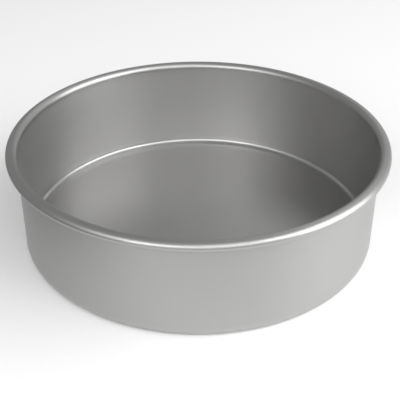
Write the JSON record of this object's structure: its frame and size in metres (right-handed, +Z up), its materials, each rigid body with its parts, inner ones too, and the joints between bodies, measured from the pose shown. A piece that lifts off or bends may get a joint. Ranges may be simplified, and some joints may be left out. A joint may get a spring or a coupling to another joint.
{
  "type": "round baking pan",
  "caption": "Deep round baking pan with straight sides, a flat floor and a rolled rim stiffened by a wire, in satin anodised aluminium sheet; holds batter or dough in an oven.",
  "frame": {"origin": "middle of the flat underside, on the surface that the pan stands on", "axes": "+Z up along the pan's axis, out of its mouth; X and Y are any two level directions, as the pan is round"},
  "size_m": [0.2706, 0.2706, 0.0755],
  "materials": {
    "anodised_sheet": "satin anodised",
    "steel_wire": "drawn wire"
  },
  "bodies": {
    "root": {"pan_shell": "anodised_sheet", "rim_wire": "steel_wire"}
  },
  "joints": []
}
